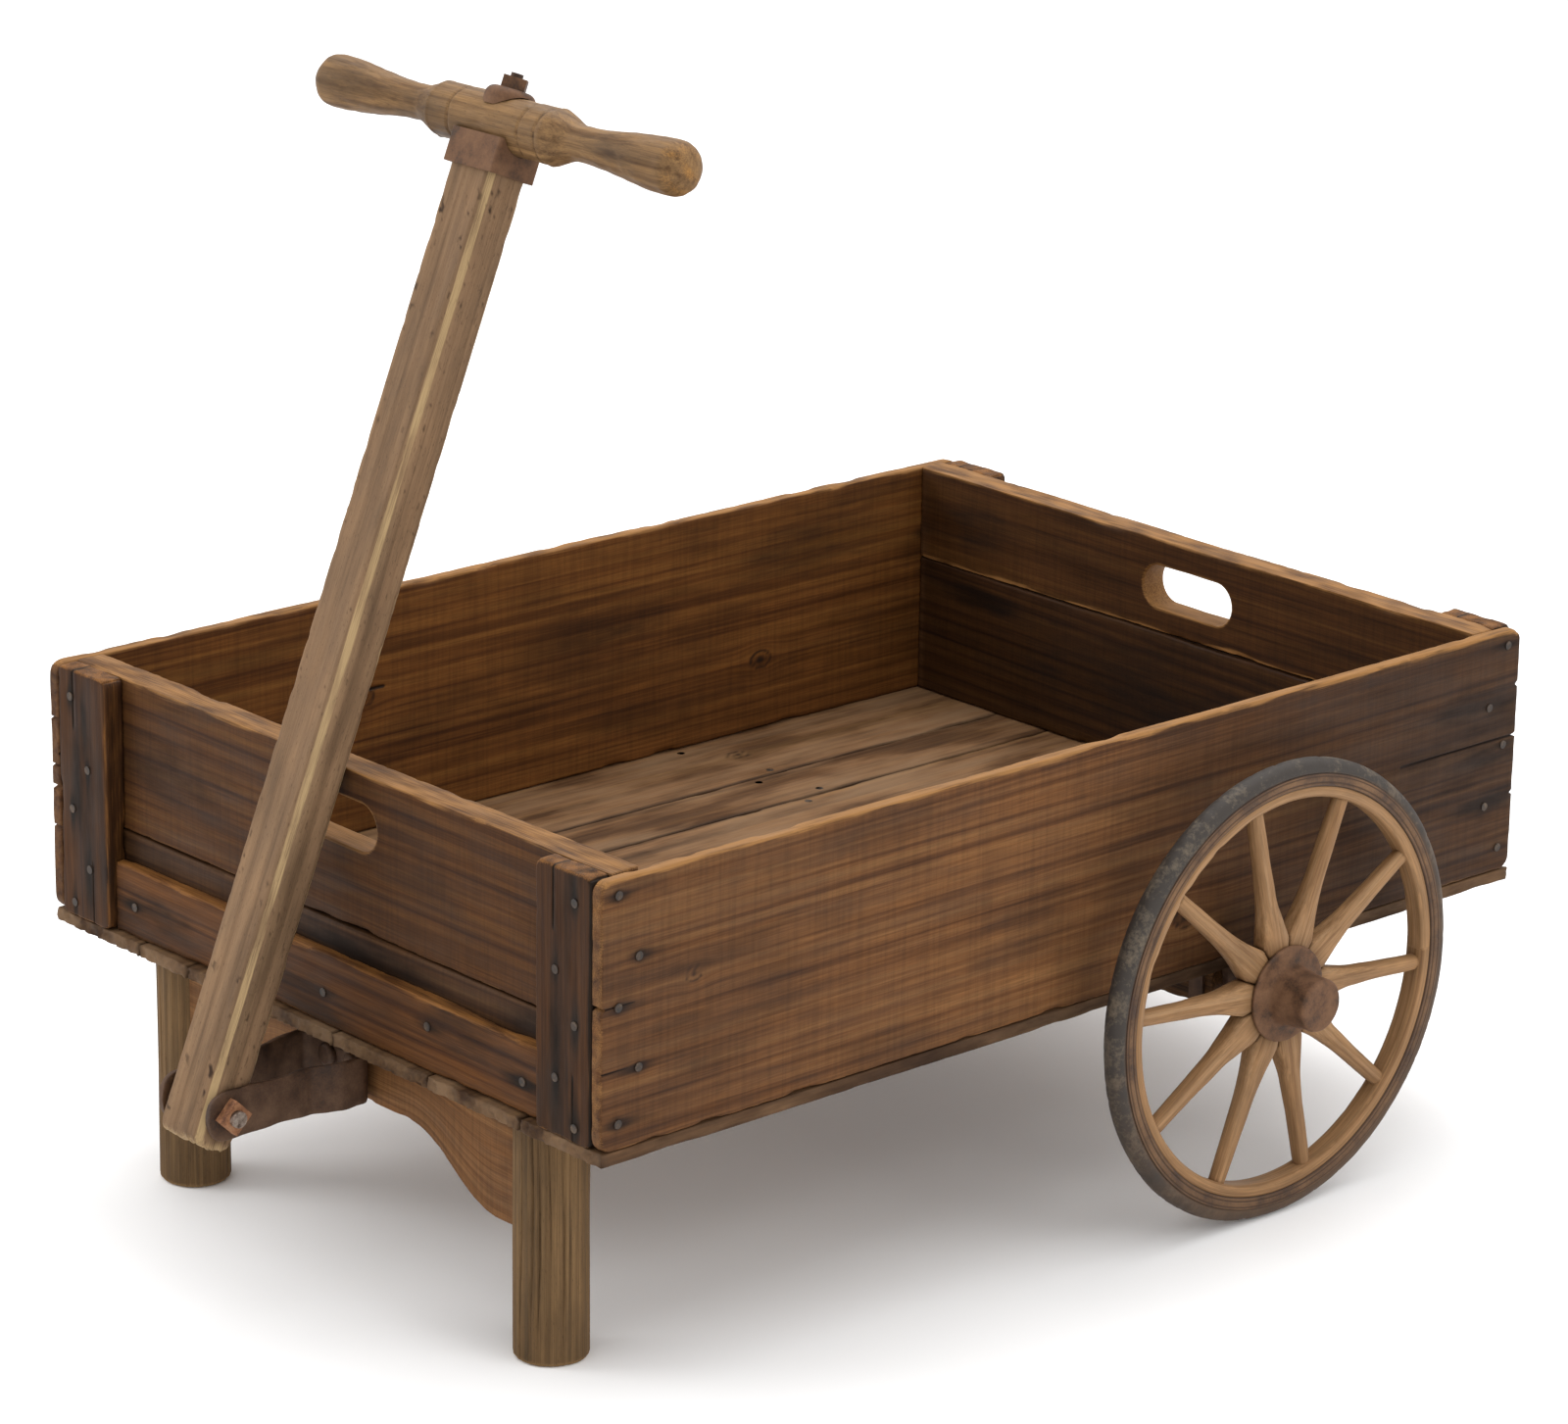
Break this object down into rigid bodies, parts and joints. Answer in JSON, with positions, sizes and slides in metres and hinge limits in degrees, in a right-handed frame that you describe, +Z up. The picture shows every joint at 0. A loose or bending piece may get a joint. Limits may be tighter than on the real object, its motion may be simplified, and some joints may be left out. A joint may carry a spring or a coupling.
{
  "type": "two-wheeled pull cart",
  "caption": "Antique wooden hand cart: an open board box on two spoked wheels and two peg legs, pulled by a T-grip pole pivoted in an iron yoke.",
  "frame": {"origin": "on the ground, under the middle of the cart's overall outline with the pole leant back on the box", "axes": "+X across the cart to its right-hand wheel as seen from the pole end facing the box, +Y from the pole end to the wheel end, +Z up"},
  "size_m": [0.809, 1.041, 0.8623],
  "materials": {
    "box_pine": "weathered, rubbed dry",
    "floor_pine": "worn bare and dusty",
    "leg_wood": "weathered and checked",
    "brace_wood": "bare",
    "bed_wood": "dark and dry",
    "pole_oak": "planed, worn",
    "grip_wood": "turned, hand polished",
    "wheel_wood": "bare",
    "tyre_rubber": "hard, weathered",
    "rim_steel": "rust brown",
    "rusted_iron": "matt rust brown",
    "forged_iron": "dark, dry rust",
    "bush_iron": "greased",
    "nail_iron": "dark"
  },
  "bodies": {
    "cart": {"axle": "forged_iron", "axle_bed": "bed_wood", "axle_clips": "forged_iron", "axle_nuts": "forged_iron", "axle_washers": "forged_iron", "batten_nails": "nail_iron", "brace": "brace_wood", "cleat_nails": "nail_iron", "floor_board_1": "floor_pine", "floor_board_2": "floor_pine", "floor_board_3": "floor_pine", "floor_board_4": "floor_pine", "floor_board_5": "floor_pine", "floor_board_6": "floor_pine", "floor_board_7": "floor_pine", "floor_nails": "nail_iron", "front_batten": "box_pine", "front_board_lower": "box_pine", "front_board_upper": "box_pine", "front_cleat_left": "box_pine", "front_cleat_right": "box_pine", "leg_left": "leg_wood", "leg_right": "leg_wood", "leg_screws": "nail_iron", "pivot_bolt": "forged_iron", "pivot_nut": "forged_iron", "rear_batten": "box_pine", "rear_board_lower": "box_pine", "rear_board_upper": "box_pine", "rear_cleat_left": "box_pine", "rear_cleat_right": "box_pine", "side_board_left": "box_pine", "side_board_right": "box_pine", "side_nails": "nail_iron", "yoke": "forged_iron", "yoke_bolts": "forged_iron", "yoke_nuts": "forged_iron"},
    "handle": {"pole": "pole_oak", "ferrule": "rusted_iron", "grip": "grip_wood", "grip_rod": "forged_iron", "grip_washer": "rusted_iron", "grip_nut": "rusted_iron"},
    "wheel_left": {"tyre_left": "tyre_rubber", "rim_left": "rim_steel", "felloe_left": "wheel_wood", "spokes_left": "wheel_wood", "hub_nose_left": "rusted_iron", "hub_back_left": "rusted_iron", "hub_bush_left": "bush_iron"},
    "wheel_right": {"tyre_right": "tyre_rubber", "rim_right": "rim_steel", "felloe_right": "wheel_wood", "spokes_right": "wheel_wood", "hub_nose_right": "rusted_iron", "hub_back_right": "rusted_iron", "hub_bush_right": "bush_iron"}
  },
  "joints": [
    {"name": "handle_hinge", "type": "hinge", "parent": "cart", "child": "handle", "pos_m": [0, -0.49606, 0.16], "axis": [1, 0, 0], "range_deg": [0, 122]},
    {"name": "wheel_left_spin", "type": "hinge", "parent": "cart", "child": "wheel_left", "pos_m": [-0.36, 0.21874, 0.178], "axis": [1, 0, 0], "continuous": true},
    {"name": "wheel_right_spin", "type": "hinge", "parent": "cart", "child": "wheel_right", "pos_m": [0.36, 0.21874, 0.178], "axis": [1, 0, 0], "continuous": true}
  ]
}
